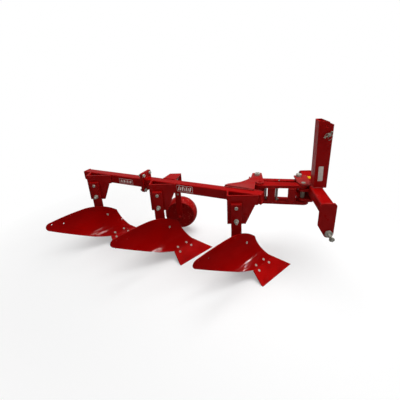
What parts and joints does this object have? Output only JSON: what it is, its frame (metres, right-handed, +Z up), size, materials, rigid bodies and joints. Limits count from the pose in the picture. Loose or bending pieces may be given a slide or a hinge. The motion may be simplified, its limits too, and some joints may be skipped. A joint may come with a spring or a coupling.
{
  "type": "three-furrow mounted plough",
  "caption": "Mounted mouldboard plough: stepped bodies on a slanting square beam, depth wheel, parallel linkage and headstock with mast and lower hitch pins.",
  "frame": {"origin": "on the floor under the middle of the plough's overall box", "axes": "+X is the direction of travel and the long way of the plough, +Y is to the left, towards the unploughed land, +Z is up"},
  "size_m": [2.2979, 1.168, 1.14],
  "materials": {
    "red_paint": "gloss red enamel over welded steel",
    "red_gloss": "gloss red enamel on pressed steel, unworn",
    "zinc_steel": "zinc-plated steel"
  },
  "bodies": {
    "plough_frame": {"front_beam": "red_paint", "rear_beam": "red_paint", "front_beam_flange": "red_paint", "rear_beam_flange": "red_paint", "front_end_cap": "red_paint", "rear_end_cap": "red_paint", "front_leg_bracket": "red_paint", "front_leg": "red_paint", "front_frog": "red_paint", "front_landside": "red_paint", "front_mouldboard": "red_gloss", "front_share": "red_gloss", "middle_leg_bracket": "red_paint", "middle_leg": "red_paint", "middle_frog": "red_paint", "middle_landside": "red_paint", "middle_mouldboard": "red_gloss", "middle_share": "red_gloss", "rear_leg_bracket": "red_paint", "rear_leg": "red_paint", "rear_frog": "red_paint", "rear_landside": "red_paint", "rear_mouldboard": "red_gloss", "rear_share": "red_gloss", "wheel_bracket": "red_paint", "wheel_arm": "red_paint", "wheel_axle": "zinc_steel", "beam_gussets": "red_paint", "near_rear_pivot_pin": "zinc_steel", "far_rear_pivot_pin": "zinc_steel"},
    "near_link": {"near_link": "red_paint", "near_link_tie_rod": "zinc_steel"},
    "far_link": {"far_link": "red_paint"},
    "headstock": {"crossbar": "red_paint", "near_end_plate": "red_paint", "far_end_plate": "red_paint", "near_hitch_pin": "zinc_steel", "far_hitch_pin": "zinc_steel", "mast": "red_paint", "top_link_pin": "zinc_steel", "upper_head_plate": "red_paint", "middle_head_plate": "red_paint", "lower_head_plate": "red_paint", "near_front_pivot_pin": "zinc_steel", "far_front_pivot_pin": "zinc_steel"},
    "depth_wheel": {"depth_wheel": "red_paint"}
  },
  "joints": [
    {"name": "near_link_swing", "type": "hinge", "parent": "plough_frame", "child": "near_link", "pos_m": [0.663, 0.105, 0.638], "axis": [0, 0, 1], "range_deg": [-20, 20]},
    {"name": "far_link_swing", "type": "hinge", "parent": "plough_frame", "child": "far_link", "pos_m": [0.657, 0.255, 0.638], "axis": [0, 0, 1], "range_deg": [-20, 20]},
    {"name": "headstock_swing", "type": "hinge", "parent": "near_link", "child": "headstock", "pos_m": [0.997, 0.059, 0.638], "axis": [0, 0, 1], "range_deg": [-20, 20]},
    {"name": "wheel_spin", "type": "hinge", "parent": "plough_frame", "child": "depth_wheel", "pos_m": [-0.06, 0.464, 0.204], "axis": [0, 1, 0], "continuous": true}
  ],
  "couplings": [
    {"joint": "far_link_swing", "follows": "near_link_swing", "ratio": 1},
    {"joint": "headstock_swing", "follows": "near_link_swing", "ratio": -1}
  ]
}
